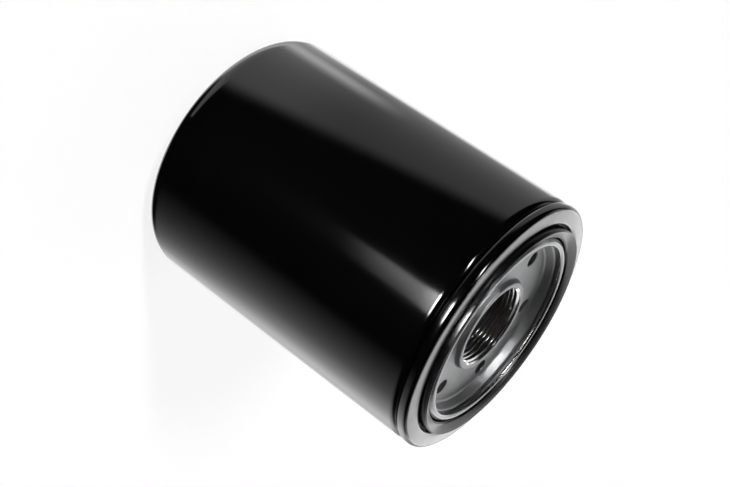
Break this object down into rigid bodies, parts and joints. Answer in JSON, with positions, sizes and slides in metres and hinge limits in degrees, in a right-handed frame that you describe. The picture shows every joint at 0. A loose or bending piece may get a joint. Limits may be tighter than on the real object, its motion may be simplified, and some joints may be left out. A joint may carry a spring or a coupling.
{
  "type": "oil filter",
  "caption": "Spin-on engine oil filter: deep-drawn black can seamed to a lid with a rubber gasket, threaded steel plate, pleated element, bypass and drain-back valves.",
  "frame": {"origin": "centre of the closed end's resting face", "axes": "+Z along the filter's axis, towards the threaded end; X and Y across it"},
  "size_m": [0.093, 0.093, 0.1204],
  "materials": {
    "can_paint": "gloss black enamel",
    "lid_steel": "bare rolled steel, satin",
    "plate_steel": "plated steel, satin",
    "spring_steel": "oiled spring steel",
    "gasket_rubber": "moulded nitrile rubber, semi-gloss",
    "valve_rubber": "moulded nitrile rubber, matt",
    "filter_paper": "resin-treated pleated paper",
    "plastisol": "cured plastisol",
    "sealing_compound": "can-end sealing compound"
  },
  "bodies": {
    "housing": {"can_shell": "can_paint", "seaming_lid": "lid_steel", "seam_sealant": "sealing_compound", "sealing_gasket": "gasket_rubber", "base_plate": "plate_steel", "element_spring": "spring_steel"},
    "drainback_valve": {"anti_drainback_valve": "valve_rubber"},
    "element": {"upper_end_cap": "plate_steel", "lower_end_cap": "plate_steel", "upper_bond": "plastisol", "lower_bond": "plastisol", "centre_tube": "plate_steel", "pleated_media": "filter_paper", "media_seam_clip": "plate_steel", "bypass_valve_cage": "plate_steel", "bypass_spring": "spring_steel", "element_spring_seat": "spring_steel"},
    "bypass_poppet": {"bypass_valve_disc": "plate_steel", "bypass_valve_seal": "valve_rubber"}
  },
  "joints": [
    {"name": "element_float", "type": "slide", "parent": "housing", "child": "element", "axis": [0, 0, -1], "range_m": [0, 0.003], "stiffness_N_per_m": 4000, "springref_m": -0.012, "deforming": ["element_spring"]},
    {"name": "bypass_lift", "type": "slide", "parent": "element", "child": "bypass_poppet", "axis": [0, 0, 1], "range_m": [0, 0.003], "stiffness_N_per_m": 2500, "springref_m": -0.008, "deforming": ["bypass_spring"]},
    {"name": "drainback_lift", "type": "slide", "parent": "housing", "child": "drainback_valve", "axis": [0, 0, -1], "range_m": [0, 0.0015], "stiffness_N_per_m": 2000, "springref_m": -0.0005}
  ]
}
